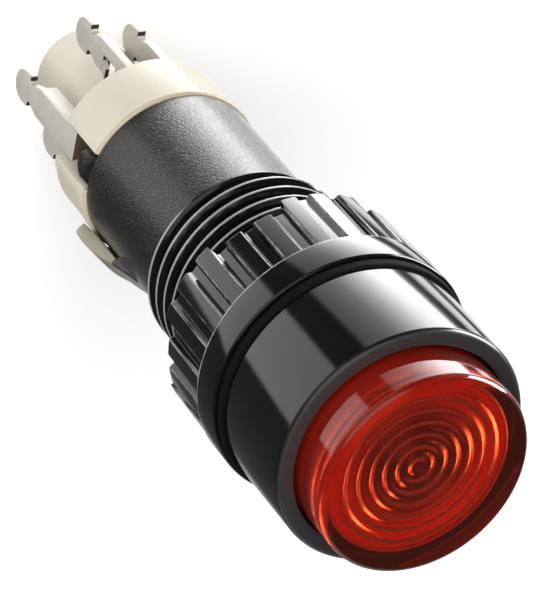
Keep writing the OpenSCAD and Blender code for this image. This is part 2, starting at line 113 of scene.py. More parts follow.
# Rounds on moulded corners, in millimetres
SHARP = 0
FINE_ROUND = 0.05
SMALL_ROUND = 0.1
MOULDED_ROUND = 0.15
SOFT_ROUND = 0.2
COLLAR_REAR_ROUND = 0.12
FLANGE_FRONT_ROUND = 0.22
FLANGE_REAR_ROUND = 0.12
LENS_FACE_ROUND = 0.25
LENS_EDGE = 0.7

# The helical thread: its crest's width, how far it sinks into the neck and starts from its end,
# in millimetres, then its turns, and its tapered ends as shares of its length and height
THREAD_CREST = 0.2
THREAD_SUNK = 0.1
THREAD_START = 0.4
THREAD_TURNS = 13
THREAD_LEAD_IN = 0.035
THREAD_LEAD_OUT = 0.02
THREAD_TIP = 0.05

# The key tongues and the clip's ramp: noses, overlaps, gaps and eased edges
TONGUE_NOSE = 0.8
TONGUE_OVERLAP = 0.5
TONGUE_INSET = 0.02
TONGUE_EDGE = 0.12
RAMP_GAP = 0.05
RAMP_EDGE = 0.15

# The step from the nut's flange down to its ribs, and where the ribs' draft begins
RIB_STEP = 0.16
RIB_STEP_SLOPE = 0.02
RIB_STEP_ROUND = 0.03
DRAFT_START = 0.3

# Shares of a rib's pitch, from the middle of its top to where its side begins and ends,
# and shares of a notch's pitch: half a notch, and half the slope of its side
RIB_TOP = 0.25
RIB_SIDE_END = 0.38
NOTCH_HALF = 0.25
NOTCH_SIDE = 0.006

# How the grooves and notches run out, in millimetres from the flange, the outside and the rear face
GROOVE_FADE = 0.25
GROOVED_FROM = 1.6
GROOVED_FULLY = 1.2
NOTCHED_TO = 0.4
NOTCH_FADE = 0.1

# Steps in arcs and turns
ARC_STEPS = 5
TURN_STEPS = 192
LENS_STEPS = 256
RIPPLE_STEPS = 16
RIB_STEPS = 32
HELIX_STEPS = 120

# Angles past which an edge is sharp, in degrees, and the bevels that ease copies of solids, in millimetres
CREASE = 30.0
WIRE_CREASE = 60.0
BEVEL_STEPS = 2
REFLECTOR_EASE = 0.15
BASE_EASE = 0.1
CLIP_EASE = 0.1
STRIP_EASE = 0.08

# Distances in metres under which points are one point and a face has no area,
# and the angle in degrees under which an edge is flat
SAME_POINT = 1e-7
NO_AREA = 1e-8
FLAT_EDGE = 0.5

# Where finishes, painted highlights and painted shade change, in millimetres
ZONE_FADE = 0.2
CREST_HIGHLIGHT = 0.03
RIM_DEPTH = 0.3
RIM_FULL = 0.05
LENS_SKIN = 0.1
SHADED_R = 4.4
UNSHADED_R = 7.4
TABS_END = -40.0
TABS_FADE = 0.5

# Painted highlights as pale lines on the nut, in millimetres, and on its ribs' corners as a share of a rib's
# pitch.
# A band, here and below, is its low end, its high end and the widths of the fades outside them.
RIB_HIGHLIGHT_GAP = 0.05
RIB_HIGHLIGHT_FADE = 0.1
CORNER_HIGHLIGHT = 0.025
LIP_BAND = (rib_front - 0.02, rib_front + 0.14, 0.08, 0.06)
LIP_DEPTH = 0.1
REAR_HIGHLIGHT = 0.08
REAR_HIGHLIGHT_FROM = 0.9
REAR_HIGHLIGHT_FULLY = 0.7

# The parting line on the base: its angle in degrees, then half its width and its fade in radians
PARTING_ANGLE = 77.0
PARTING_HALF = 0.004
PARTING_FADE = 0.01

# Rolled metals: their lightest and darkest colour, least roughness and how metallic they look
TINNED = {"light": (0.62, 0.595, 0.54), "dark": (0.48, 0.455, 0.405), "rough": 0.35, "metallic": 0.15}
BRONZE = {"light": (0.42, 0.395, 0.3), "dark": (0.22, 0.2, 0.14), "rough": 0.35, "metallic": 0.5}
SILVER = {"light": (0.8, 0.8, 0.8), "dark": (0.68, 0.68, 0.68), "rough": 0.2, "metallic": 1.0}
STEEL = {"light": (0.6, 0.6, 0.61), "dark": (0.5, 0.5, 0.51), "rough": 0.2, "metallic": 1.0}

# Rolling lines on a strip: lumps to the millimetre in X and Y, across it, and in Z, along it
ROLLED_LINES = (9.0, 9.0, 0.35)

# Refraction of the plastics and the glass
BLACK_IOR = 1.52
LENS_IOR = 1.49
GLASS_IOR = 1.5

# The camera that the photograph was fitted with, in the part's frame, its lens in millimetres
CAMERA_PLACE = Vector((-0.23668, 0.25586, 0.35101))
CAMERA_RIGHT = Vector((0.87726, 0.17431, 0.44726))
CAMERA_UP = Vector((0.10083, 0.84403, -0.52672))
CAMERA_BACK = Vector((-0.46931, 0.50717, 0.72286))
CAMERA_LENS = 365.5
CAMERA_SENSOR = 36.0
CAMERA_DEPTH = 10.0

# Round lamps: where each stands, its level, and the angles from its middle where its fade starts and ends.
# Front is the large soft one behind the camera. Fill lights matte surfaces, from the boxes' dark side.
# Ring is the small one that sparkles in the lens's rings.
FRONT_LAMP = {"stands": (-0.42, 0.45, 0.79), "level": 3.7, "core": 26.0, "edge": 34.0}
FILL_LAMP = {"stands": (-0.6, -0.65, -0.1), "level": 0.9, "core": 25.0, "edge": 75.0}
RING_LAMP = {"stands": (0.925, -0.27, 0.268), "level": 12.0, "core": 9.0, "edge": 14.0}

# Soft boxes low round the object: angle round its axis in degrees, and level
BOX_LEVELS = [
    (0, 2.4), (4, 2.0), (7, 0.1), (14, 0.1), (19, 1.0), (24, 9.5), (46, 9.5), (54, 7.4),
    (65, 4.7), (77, 2.3), (89, 1.5), (102, 1.0), (105, 0.03), (131, 0.03), (134, 1.9), (188, 1.9),
    (191, 0.05), (280, 0.06), (296, 0.45), (320, 0.8), (338, 1.5), (342, 0.1), (350, 0.1), (354, 2.6)]
BOX_FULL = 10.0

# Bands of light: heights in the studio are sines of the angle over the horizon
BOX_BAND = (-0.9, -0.45, 0.05, 0.1)
STRIP_BAND = (-0.1, 0.38, 0.05, 0.06)
WALL_BAND = (-0.28, 0.2, 0.12, 0.2)

# The tall strip lamp that draws bright lines on the front edges: angles round the axis, fade and level
STRIP_FROM = 6.0
STRIP_TO = 38.0
STRIP_FADE = 3.0
STRIP_LEVEL = 20.0

# Pale walls level with the object, which its glossy sides mirror: mean level and its swing
WALLS = 3
WALL_LEVEL = 0.35
WALL_SWING = 0.3

# The light from below and all round: heights where it fades, and level
BELOW_FULL = -0.97
BELOW_END = -0.92
BELOW_LEVEL = 2.5
AMBIENT_LOW = -0.4
AMBIENT_HIGH = 0.3
AMBIENT_LEVEL = 0.03
MIRRORED_BACKDROP = 0.04

# Shares of the front lamp that mirror images leave out, and of the boxes that matte surfaces leave out
FRONT_HIDDEN = 0.75
BOX_HELD_BACK = 0.25

# The floor: half its width, its gap under the part in metres, and its own light
FLOOR_HALF = 0.6
FLOOR_GAP = 0.0001
FLOOR_GLOW = 0.35


class Socket:
    """One output of a node, with operators that add Math nodes behind it."""

    def __init__(self, nodes, output):
        self.nodes = nodes
        self.output = output

    def math(self, operation, *values):
        return self.nodes.math(operation, self, *values)

    def __add__(self, other):
        return self.math("ADD", other)

    def __sub__(self, other):
        return self.math("SUBTRACT", other)

    def __rsub__(self, other):
        return self.nodes.math("SUBTRACT", other, self)

    def __mul__(self, other):
        return self.math("MULTIPLY", other)

    def __truediv__(self, other):
        return self.math("DIVIDE", other)

    __radd__ = __add__
    __rmul__ = __mul__

    def step(self, low, high):
        """Smooth rise from 0 at low to 1 at high."""
        return self.nodes.add("ShaderNodeMapRange", {"interpolation_type": "SMOOTHSTEP"},
                              {"Value": self, "From Min": low, "From Max": high})

    def between(self, low, high, fade_below, fade_above):
        """1 from low to high, with smooth fades to 0 outside them."""
        return self.step(low - fade_below, low) * (1 - self.step(high, high + fade_above))

    def from_middle(self):
        """How far the value is from the nearest half, from 0 there to 0.5 at a whole number."""
        return self.math("FRACT").math("SUBTRACT", 0.5).math("ABSOLUTE")


class Nodes:
    """A node tree that is filled from expressions."""

    def __init__(self, tree):
        self.tree = tree
        tree.nodes.clear()

    def add(self, kind, settings=None, inputs=None, output=0):
        """A node of this kind, its settings set first, then its inputs set or linked."""
        node = self.tree.nodes.new(kind)
        for name, value in (settings or {}).items():
            if name == "stops":
                self.set_stops(node.color_ramp, value)
            else:
                setattr(node, name, value)
        for name, value in (inputs or {}).items():
            if isinstance(value, Socket):
                self.tree.links.new(value.output, node.inputs[name])
            else:
                node.inputs[name].default_value = value
        return Socket(self, node.outputs[output]) if len(node.outputs) else None

    @staticmethod
    def set_stops(ramp, stops):
        """Grey stops (place, level) of a colour ramp."""
        while len(ramp.elements) < len(stops):
            ramp.elements.new(0.5)
        for element, (place, level) in zip(ramp.elements, stops):
            element.position = place
            element.color = grey(level)

    def math(self, operation, *values):
        return self.add("ShaderNodeMath", {"operation": operation}, dict(enumerate(values)))

    def parts(self, vector):
        """The three numbers of a vector."""
        return [self.add("ShaderNodeSeparateXYZ", {}, {0: vector}, axis) for axis in "XYZ"]

    def vector(self, x, y, z):
        return self.add("ShaderNodeCombineXYZ", {}, {"X": x, "Y": y, "Z": z})

    def place(self):
        """Object coordinates, in millimetres."""
        here = self.add("ShaderNodeTexCoord", output="Object")
        return self.add("ShaderNodeVectorMath", {"operation": "SCALE"}, {0: here, "Scale": 1 / MM})

    def stretched(self, place, scale):
        return self.add("ShaderNodeVectorMath", {"operation": "MULTIPLY"}, {0: place, 1: scale})

    def noise(self, place, scale, detail=2.0, roughness=0.5):
        """Soft random pattern between 0 and 1, with about scale lumps to the millimetre."""
        return self.add("ShaderNodeTexNoise", {}, {
            "Vector": place, "Scale": scale, "Detail": detail, "Roughness": roughness})

    def mix(self, factor, first, second):
        """Colour between first and second."""
        return self.add("ShaderNodeMix", {"data_type": "RGBA"}, {"Factor": factor, 6: first, 7: second}, 2)

    def bump(self, height):
        """Normal from a height in millimetres."""
        return self.add("ShaderNodeBump", {}, {"Height": height, "Distance": MM})

    def surface(self, **inputs):
        """Principled surface, which ends the tree."""
        named = {name.replace("_", " "): value for name, value in inputs.items()}
        shader = self.add("ShaderNodeBsdfPrincipled", {}, named)
        self.add("ShaderNodeOutputMaterial", {}, {"Surface": shader})


def colour(red, green, blue):
    return (red, green, blue, 1.0)


def grey(level):
    return colour(level, level, level)


def from_axis(x, y):
    """Distance from the button's axis."""
    return (x * x + y * y).math("SQRT")


def new_material(name):
    material = bpy.data.materials.new(name)
    material.use_nodes = True
    return material, Nodes(material.node_tree)


def polished_black(nodes, place):
    """Colour, roughness and height in millimetres of a polished black moulding with faint flow ripples."""
    cloud = nodes.noise(place, scale=0.35, detail=3.0)
    ripple = nodes.noise(place, scale=0.5)
    tone = nodes.mix(cloud, colour(0.002, 0.002, 0.0022), colour(0.005, 0.005, 0.0052))
    return tone, 0.07 + cloud * 0.06, ripple * 0.006


def black_plastic():
    """Polished black moulding, as on the plunger."""
    material, nodes = new_material("black_moulding")
    tone, rough, ripple = polished_black(nodes, nodes.place())
    nodes.surface(Base_Color=tone, Roughness=rough, IOR=BLACK_IOR, Normal=nodes.bump(ripple))
    return material


def black_housing():
    """The same black with painted highlights as pale thread crests, a satin rim and a spark-textured barrel
    with painted glints as pale specks.
    """
    material, nodes = new_material("black_housing")
    place = nodes.place()
    x, y, along = nodes.parts(place)
    barrel = 1 - along.step(THREAD_END - ZONE_FADE, THREAD_END)
    threaded = (1 - barrel) * (1 - along.step(gasket_rear - ZONE_FADE, gasket_rear))
    # Painted highlight: the thread's crests are greyed where the light would catch them
    crest = from_axis(x, y).step(THREAD_R - 2 * CREST_HIGHLIGHT, THREAD_R - CREST_HIGHLIGHT) * threaded
    rim = along.step(collar_top - RIM_DEPTH, collar_top - RIM_FULL)
    tone, rough, ripple = polished_black(nodes, place)
    pits = nodes.noise(place, scale=3.0, roughness=0.6)
    grain = nodes.noise(place, scale=6.0, detail=1.0)
    # Painted glints: pale specks in the barrel's colour, over its real spark-eroded grain and bump
    glint_speck = grain.step(0.5, 0.7)
    highlighted = nodes.mix(crest, tone, grey(0.34))
    satin = nodes.mix(rim, highlighted, colour(0.032, 0.032, 0.033))
    glint_specked = nodes.mix(glint_speck, grey(0.003), grey(0.025))
    nodes.surface(
        Base_Color=nodes.mix(barrel, satin, glint_specked),
        Roughness=rough + rim * 0.25 + barrel * (0.1 + grain * 0.12),
        IOR=BLACK_IOR, Metallic=barrel * 0.85,
        Coat_Weight=barrel, Coat_Roughness=0.28, Coat_IOR=1.25,
        Normal=nodes.bump(ripple + barrel * (pits * 0.04 + grain * 0.08)))
    return material


def rib_shares(x, y, turn, rib_turn, ribs):
    """Laps round the nut from its turn, and a point's distance from the middle of its rib's top, in ribs."""
    # Whole laps are added so that no number under 0 is split
    lap = y.math("ARCTAN2", x) / TURN - turn + 2
    rib = ((lap - rib_turn) * ribs).math("FRACT")
    return lap, (rib - RIB_TOP + 1.5).from_middle()


def black_nut():
    """The same black with painted highlights as pale lines on the ribs' corners, the flange and the notched
    rear edge, broken into patches by noise.
    """
    material, nodes = new_material("black_nut")
    place = nodes.place()
    x, y, along = nodes.parts(place)
    r = from_axis(x, y)
    from_top = rib_shares(x, y, NUT_ANGLE / CIRCLE, RIB_TURN / CIRCLE, RIBS)[1]
    # Painted highlights: pale lines on the ribs' corners, the flange's rear edge and the notched rear edge
    ribs_begin = rib_front - RIB_HIGHLIGHT_GAP
    ribbed = 1 - along.step(ribs_begin - RIB_HIGHLIGHT_FADE, ribs_begin)
    corner_highlight = from_top.between(RIB_TOP, RIB_TOP + CORNER_HIGHLIGHT, CORNER_HIGHLIGHT, CORNER_HIGHLIGHT) * ribbed
    rear = 1 - along.step(nut_rear + REAR_HIGHLIGHT, nut_rear + 2 * REAR_HIGHLIGHT)
    outer = r.step(NUT_R - REAR_HIGHLIGHT_FROM, NUT_R - REAR_HIGHLIGHT_FULLY)
    tone, rough, ripple = polished_black(nodes, place)
    patchiness = nodes.noise(place, scale=0.6, detail=3.0, roughness=0.6).step(0.35, 0.65)
    edges = corner_highlight.math("MAXIMUM", rear * outer) * patchiness
    outside = r.step(NUT_R - 2 * LIP_DEPTH, NUT_R - LIP_DEPTH)
    lip_highlight = along.between(*LIP_BAND) * outside * (0.35 + patchiness * 0.65)
    highlighted = nodes.mix(edges, tone, grey(0.26))
    nodes.surface(
        Base_Color=nodes.mix(lip_highlight, highlighted, grey(0.5)),
        Roughness=rough + edges.math("MAXIMUM", lip_highlight) * 0.2,
        IOR=BLACK_IOR, Normal=nodes.bump(ripple))
    return material


def gasket_rubber():
    """Matte black rubber with a dusty grain."""
    material, nodes = new_material("gasket_rubber")
    grain = nodes.noise(nodes.place(), scale=6.0, detail=4.0, roughness=0.6)
    nodes.surface(
        Base_Color=nodes.mix(grain, grey(0.002), grey(0.005)), Roughness=0.65 + grain * 0.2,
        Specular_IOR_Level=0.1, Normal=nodes.bump(grain * 0.03))
    return material


def red_lens_plastic():
    """Clear red plastic, polished outside, half frosted on its inner wall and less on its ringed face."""
    material, nodes = new_material("red_lens_plastic")
    place = nodes.place()
    x, y, along = nodes.parts(place)
    r = from_axis(x, y)
    inner_wall = 1 - r.step(LENS_IN_R + LENS_SKIN, LENS_IN_R + 2 * LENS_SKIN)
    inside = inner_wall * (1 - along.step(ring_top + 2 * LENS_SKIN, ring_top + 4 * LENS_SKIN))
    ringed = 1 - r.step(LENS_IN_R - 4 * LENS_SKIN, LENS_IN_R - 3 * LENS_SKIN)
    face = along.step(LENS_FACE - 2 * LENS_SKIN, LENS_FACE - LENS_SKIN) * ringed
    cloud = nodes.noise(place, scale=0.4)
    grain = nodes.noise(place, scale=9.0)
    red = nodes.mix(cloud, colour(0.9, 0.07, 0.015), colour(0.93, 0.085, 0.02))
    frost = nodes.mix(grain, colour(0.5, 0.16, 0.13), colour(0.6, 0.2, 0.16))
    clear = nodes.add("ShaderNodeBsdfPrincipled", {}, {
        "Base Color": red, "Roughness": 0.015 + cloud * 0.015 + inside * 0.15, "IOR": LENS_IOR,
        "Transmission Weight": 0.96, "Normal": nodes.bump(inside * grain * 0.01)})
    frosted = nodes.add("ShaderNodeBsdfPrincipled", {}, {
        "Base Color": frost, "Roughness": 0.3, "IOR": LENS_IOR, "Normal": nodes.bump(grain * 0.01)})
    both = nodes.add("ShaderNodeMixShader", {}, {0: inside * (0.5 - face * 0.44), 1: clear, 2: frosted})
    nodes.add("ShaderNodeOutputMaterial", {}, {"Surface": both})
    return material


def satin_grain(nodes, place):
    """Slow clouding of a satin moulding's colour, and its fine grain."""
    cloud = nodes.noise(place, scale=0.3, detail=4.0, roughness=0.6)
    grain = nodes.noise(place, scale=5.0, detail=3.0)
    return cloud, grain


def white_reflector():
    """Satin white moulding with painted shade, darkening it to brown round the lamp's mouth in the middle.
    """
    material, nodes = new_material("white_moulding")
    place = nodes.place()
    x, y = nodes.parts(place)[:2]
    cloud, grain = satin_grain(nodes, place)
    base_tone = nodes.mix(cloud, colour(0.8, 0.79, 0.75), colour(0.86, 0.85, 0.81))
    # Painted shade: the white darkens to a dark brown towards the middle, round the lamp's mouth
    unshaded = (from_axis(x, y) + cloud * 0.6).step(SHADED_R, UNSHADED_R)
    nodes.surface(
        Base_Color=nodes.mix(unshaded, colour(0.06, 0.04, 0.03), base_tone),
        Roughness=0.35 + grain * 0.15, Normal=nodes.bump(grain * 0.012))
    return material


def cream_plastic():
    """Satin cream moulding with painted shade in brown along the flange's front edge, and a faint parting
    line.
    """
    material, nodes = new_material("cream_moulding")
    place = nodes.place()
    x, y, along = nodes.parts(place)
    cloud, grain = satin_grain(nodes, place)
    # Painted shade: brown along the flange's front edge, next to the black barrel
    edge = along.step(BARREL_END - 2 * ZONE_FADE, BARREL_END - ZONE_FADE)
    turn = (y.math("ARCTAN2", x) - math.radians(PARTING_ANGLE)).math("ABSOLUTE")
    parting = 1 - turn.step(PARTING_HALF, PARTING_HALF + PARTING_FADE)
    base_tone = nodes.mix(cloud, colour(0.66, 0.61, 0.49), colour(0.72, 0.67, 0.56))
    # The brown mix carries the painted edge shade and the darker parting line
    stains_and_shade = (edge * 0.5).math("MAXIMUM", parting * 0.35)
    nodes.surface(
        Base_Color=nodes.mix(stains_and_shade, base_tone, colour(0.45, 0.33, 0.17)),
        Roughness=0.35 + grain * 0.15, Normal=nodes.bump(grain * 0.012 - parting * 0.03))
    return material


def strip_metal(name, light, dark, rough, metallic):
    """Dull rolled strip with fine lines along it and soft stains; faces that look up along the axis get
    painted shade, black on the tabs and brown further in.
    """
    material, nodes = new_material(name)
    place = nodes.place()
    rolled = nodes.noise(nodes.stretched(place, ROLLED_LINES), scale=1.0, detail=3.0, roughness=0.6)
    stains_and_shade = nodes.noise(place, scale=0.7, detail=4.0, roughness=0.65)
    # Painted shade: faces looking up along the axis, such as the sheared ends under the tabs' heads, are
    # darkened, black out on the tabs and brown inside the base
    facing = nodes.add("ShaderNodeTexCoord", output="Normal")
    cut = nodes.parts(facing)[2].step(0.8, 0.95)
    face = nodes.mix(stains_and_shade, colour(*dark), colour(*light))
    inner = nodes.parts(place)[2].step(TABS_END - TABS_FADE, TABS_END + TABS_FADE)
    shaded_ends = nodes.mix(inner, colour(0.012, 0.01, 0.008), colour(0.1, 0.07, 0.035))
    nodes.surface(
        Base_Color=nodes.mix(cut, face, shaded_ends), Metallic=metallic,
        Roughness=rough + rolled * 0.15 + stains_and_shade * 0.1, Normal=nodes.bump(rolled * 0.01 + stains_and_shade * 0.01))
    return material


def lamp_glass():
    """Clear glass with a faint bloom."""
    material, nodes = new_material("lamp_glass")
    cloud = nodes.noise(nodes.place(), scale=0.5)
    nodes.surface(
        Base_Color=nodes.mix(cloud, colour(0.9, 0.9, 0.88), colour(0.97, 0.97, 0.96)),
        Roughness=0.02 + cloud * 0.03, IOR=GLASS_IOR, Transmission_Weight=1.0)
    return material


def softened(corners, steps=ARC_STEPS):
    """Outline points from corners (r, z, bend), each corner bent to an arc of radius bend."""
    path = []
    for index, (r, z, bend) in enumerate(corners):
        here = Vector((r, z))
        if bend == SHARP:
            path.append(here)
            continue
        before = (Vector(corners[index - 1][:2]) - here).normalized()
        after = (Vector(corners[(index + 1) % len(corners)][:2]) - here).normalized()
        half = before.angle(after) / 2
        centre = here + (before + after).normalized() * bend / math.sin(half)
        start = here + before * bend / math.tan(half) - centre
        end = here + after * bend / math.tan(half) - centre
        sweep = math.pi - 2 * half
        for step in range(steps + 1):
            share = step / steps
            blend = start * math.sin((1 - share) * sweep) + end * math.sin(share * sweep)
            path.append(centre + blend / math.sin(sweep))
    return path


def turned(path, steps=TURN_STEPS):
    """Closed shell turned about Z from a closed outline of (r, z) points in millimetres."""
    shape = bmesh.new()
    loops = []
    for r, z in path:
        ring = []
        for step in range(steps):
            turn = TURN * step / steps
            ring.append(shape.verts.new(Vector((r * math.cos(turn), r * math.sin(turn), z)) * MM))
        loops.append(ring)
    for first, second in zip(loops, loops[1:] + loops[:1]):
        join_loops(shape, first, second)
    return closed(shape)


def join_loops(shape, first, second):
    """Band of faces between two loops of points that face each other."""
    count = len(first)
    for index in range(count):
        after = (index + 1) % count
        shape.faces.new((first[index], first[after], second[after], second[index]))


def slab(shape, inner, outer):
    """Closed slab between two loops of points that face each other."""
    join_loops(shape, inner, outer)
    shape.faces.new(inner)
    shape.faces.new(outer)


def closed(shape):
    """Merges double points, drops faces with no area and turns the faces outwards."""
    bmesh.ops.remove_doubles(shape, verts=shape.verts, dist=SAME_POINT)
    bmesh.ops.dissolve_degenerate(shape, edges=shape.edges, dist=NO_AREA)
    bmesh.ops.recalc_face_normals(shape, faces=shape.faces)
    return shape


def plain_mesh(name, shapes):
    """One mesh of several closed shapes."""
    whole = bmesh.new()
    for shape in shapes:
        part = bpy.data.meshes.new(name + "_part")
        shape.to_mesh(part)
        shape.free()
        whole.from_mesh(part)
        bpy.data.meshes.remove(part)
    mesh = bpy.data.meshes.new(name)
    whole.to_mesh(mesh)
    whole.free()
    return mesh


def show(name, data):
    """Object of this name in the scene."""
    shown = bpy.data.objects.new(name, data)
    bpy.context.scene.collection.objects.link(shown)
    return shown


def finished_mesh(carrier):
    """Plain mesh of an object with its modifiers applied."""
    view = bpy.context.evaluated_depsgraph_get()
    return bpy.data.meshes.new_from_object(carrier.evaluated_get(view))


def grown_mesh(name, start, material, sizes, rule):
    """Plain mesh that a Geometry Nodes rule grows from a start mesh and named sizes in metres."""
    tree = bpy.data.node_groups.new(name, "GeometryNodeTree")
    nodes = Nodes(tree)
    tree.interface.new_socket("Geometry", in_out="OUTPUT", socket_type="NodeSocketGeometry")
    tree.interface.new_socket("Geometry", in_out="INPUT", socket_type="NodeSocketGeometry")
    keys = {}
    for label in sizes:
        size_input = tree.interface.new_socket(label, in_out="INPUT", socket_type="NodeSocketFloat")
        keys[label] = size_input.identifier
    entry = tree.nodes.new("NodeGroupInput")
    given = {label: Socket(nodes, entry.outputs[label]) for label in sizes}
    grown = rule(nodes, Socket(nodes, entry.outputs["Geometry"]), given)
    whole = nodes.add("GeometryNodeRealizeInstances", {}, {"Geometry": grown})
    finished = nodes.add("GeometryNodeSetMaterial", {}, {"Geometry": whole, "Material": material})
    nodes.add("NodeGroupOutput", {}, {"Geometry": finished})
    carrier = show(name, start)
    modifier = carrier.modifiers.new(name, "NODES")
    modifier.node_group = tree
    for label, value in sizes.items():
        modifier[keys[label]] = float(value)
    mesh = finished_mesh(carrier)
    carrier.modifiers.remove(modifier)
    bpy.data.objects.remove(carrier)
    return mesh


def add_piece(name, mesh, material, body, node, crease=CREASE):
    """Object that rides on a body and stands for a node of the frame, which it hides, in the given material.
    """
    mesh.name = name
    mesh.materials.clear()
    mesh.materials.append(material)
    mesh.shade_smooth()
    mesh.set_sharp_from_angle(angle=math.radians(crease))
    piece = show(name, mesh)
    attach(piece, body)
    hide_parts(node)
    return piece


def thread_rule(nodes, _start, size):
    """Ridge of a right-hand thread: a rounded trapezoid swept along a helix, faded out at both ends."""
    profile = nodes.add("GeometryNodeCurvePrimitiveQuadrilateral", {"mode": "TRAPEZOID"}, {
        "Height": size["Depth"] + size["Sunk"], "Bottom Width": size["Foot"], "Top Width": size["Crest"],
        "Offset": 0.0})
    eased = nodes.add("GeometryNodeFilletCurve", {"mode": "POLY"}, {
        "Curve": profile, "Count": 3, "Radius": size["Edge"]})
    outward = nodes.add("GeometryNodeTransform", {}, {
        "Geometry": eased, "Translation": nodes.vector((size["Depth"] - size["Sunk"]) / 2, 0.0, 0.0),
        "Rotation": (0.0, 0.0, -TURN / 4)})
    helix = nodes.add("GeometryNodeCurveSpiral", {}, {
        "Resolution": HELIX_STEPS, "Rotations": size["Turns"], "Start Radius": size["Root"],
        "End Radius": size["Root"], "Height": size["Turns"] * size["Pitch"], "Reverse": True})
    placed = nodes.add("GeometryNodeTransform", {}, {
        "Geometry": helix, "Translation": nodes.vector(0.0, 0.0, size["Rear"])})
    upright = nodes.add("GeometryNodeSetCurveNormal", {"mode": "Z_UP"}, {"Curve": placed})
    share = nodes.add("GeometryNodeSplineParameter", output="Factor")
    full = share.between(THREAD_LEAD_IN, 1 - THREAD_LEAD_OUT, THREAD_LEAD_IN, THREAD_LEAD_OUT)
    return nodes.add("GeometryNodeCurveToMesh", {}, {
        "Curve": upright, "Profile Curve": outward, "Scale": THREAD_TIP + full * (1 - THREAD_TIP),
        "Fill Caps": True})


def thread_ridge(material):
    """The helical ridge on the neck, a little sunk into it."""
    sizes = {
        "Turns": THREAD_TURNS, "Pitch": THREAD_PITCH * MM, "Root": (THREAD_R - THREAD_DEPTH) * MM,
        "Depth": THREAD_DEPTH * MM, "Sunk": THREAD_SUNK * MM, "Crest": THREAD_CREST * MM,
        "Foot": (THREAD_PITCH - THREAD_CREST) * MM, "Edge": FINE_ROUND * MM,
        "Rear": (THREAD_END + THREAD_START) * MM}
    mesh = grown_mesh("thread_ridge", bpy.data.meshes.new("thread_start"), material, sizes, thread_rule)
    shape = bmesh.new()
    shape.from_mesh(mesh)
    bpy.data.meshes.remove(mesh)
    return closed(shape)


def housing(material):
    """Collar, neck and barrel in one shell, with the thread, the key tongues and the clip's ramp on it."""
    root_r = THREAD_R - THREAD_DEPTH
    shell = turned(softened([
        (GUIDE_R, WELL_FLOOR, SMALL_ROUND), (GUIDE_R, GUIDE_END, SHARP),
        (CHAMBER_R, GUIDE_END, SHARP), (CHAMBER_R, BARREL_END, SMALL_ROUND),
        (BARREL_R, BARREL_END, MOULDED_ROUND), (BARREL_R, THREAD_END, FINE_ROUND),
        (root_r, THREAD_END, FINE_ROUND), (root_r, 0, FINE_ROUND),
        (collar_r, 0, COLLAR_REAR_ROUND), (collar_r, collar_top, COLLAR_EDGE),
        (WELL_R, collar_top, MOULDED_ROUND), (WELL_R, WELL_FLOOR, SOFT_ROUND)]))
    shapes = [shell, thread_ridge(material), clip_ramp()]
    for turn in (0, TURN / 2):
        shapes.append(key_tongue(turn))
    return plain_mesh("housing", shapes)


def key_tongue(turn):
    """Round-nosed tongue on the rear of the barrel, which keys the terminal base."""
    low_y = TONGUE_Y - TONGUE_WIDTH / 2
    high_y = TONGUE_Y + TONGUE_WIDTH / 2
    root = BARREL_END + TONGUE_OVERLAP
    tip = BARREL_END - TONGUE_LENGTH
    outline = softened([
        (low_y, root, SHARP), (low_y, tip, TONGUE_NOSE), (high_y, tip, TONGUE_NOSE), (high_y, root, SHARP)],
        steps=6)
    shape = bmesh.new()
    loops = []
    for r in (CHAMBER_R, BARREL_R - TONGUE_INSET):
        loops.append([shape.verts.new(Vector((-math.sqrt(r * r - y * y), y, z)) * MM) for y, z in outline])
    slab(shape, *loops)
    ease_edges(shape, rim_edges(shape, loops[1]), TONGUE_EDGE, steps=2)
    bmesh.ops.transform(shape, matrix=Matrix.Rotation(turn, 4, "Z"), verts=shape.verts)
    return closed(shape)


def rim_edges(shape, loop):
    """Edges between neighbours of a loop."""
    members = set(loop)
    return [edge for edge in shape.edges if edge.verts[0] in members and edge.verts[1] in members]


def ease_edges(shape, edges, width, steps):
    """Rounds the edges off by a bevel of this width in millimetres."""
    bmesh.ops.bevel(shape, geom=edges, offset=width * MM, segments=steps, profile=0.5, affect="EDGES")


def clip_ramp():
    """Moulded wedge that leads up to the locking clip."""
    root_r = (BARREL_R + CHAMBER_R) / 2
    half = CLIP_WIDTH / 2
    reach = RAMP_LENGTH * (RAMP_TOP_R - root_r) / (RAMP_TOP_R - BARREL_R)
    rear = clip_front + RAMP_GAP
    outline = [(root_r, rear), (RAMP_TOP_R, rear), (root_r, rear + reach)]
    shape = bmesh.new()
    loops = [[shape.verts.new(Vector((r, side * half, z)) * MM) for r, z in outline] for side in (-1, 1)]
    slab(shape, *loops)
    ease_edges(shape, shape.edges[:], RAMP_EDGE, steps=3)
    turn = Matrix.Rotation(math.radians(CLIP_ANGLE), 4, "Z")
    bmesh.ops.transform(shape, matrix=turn, verts=shape.verts)
    return closed(shape)


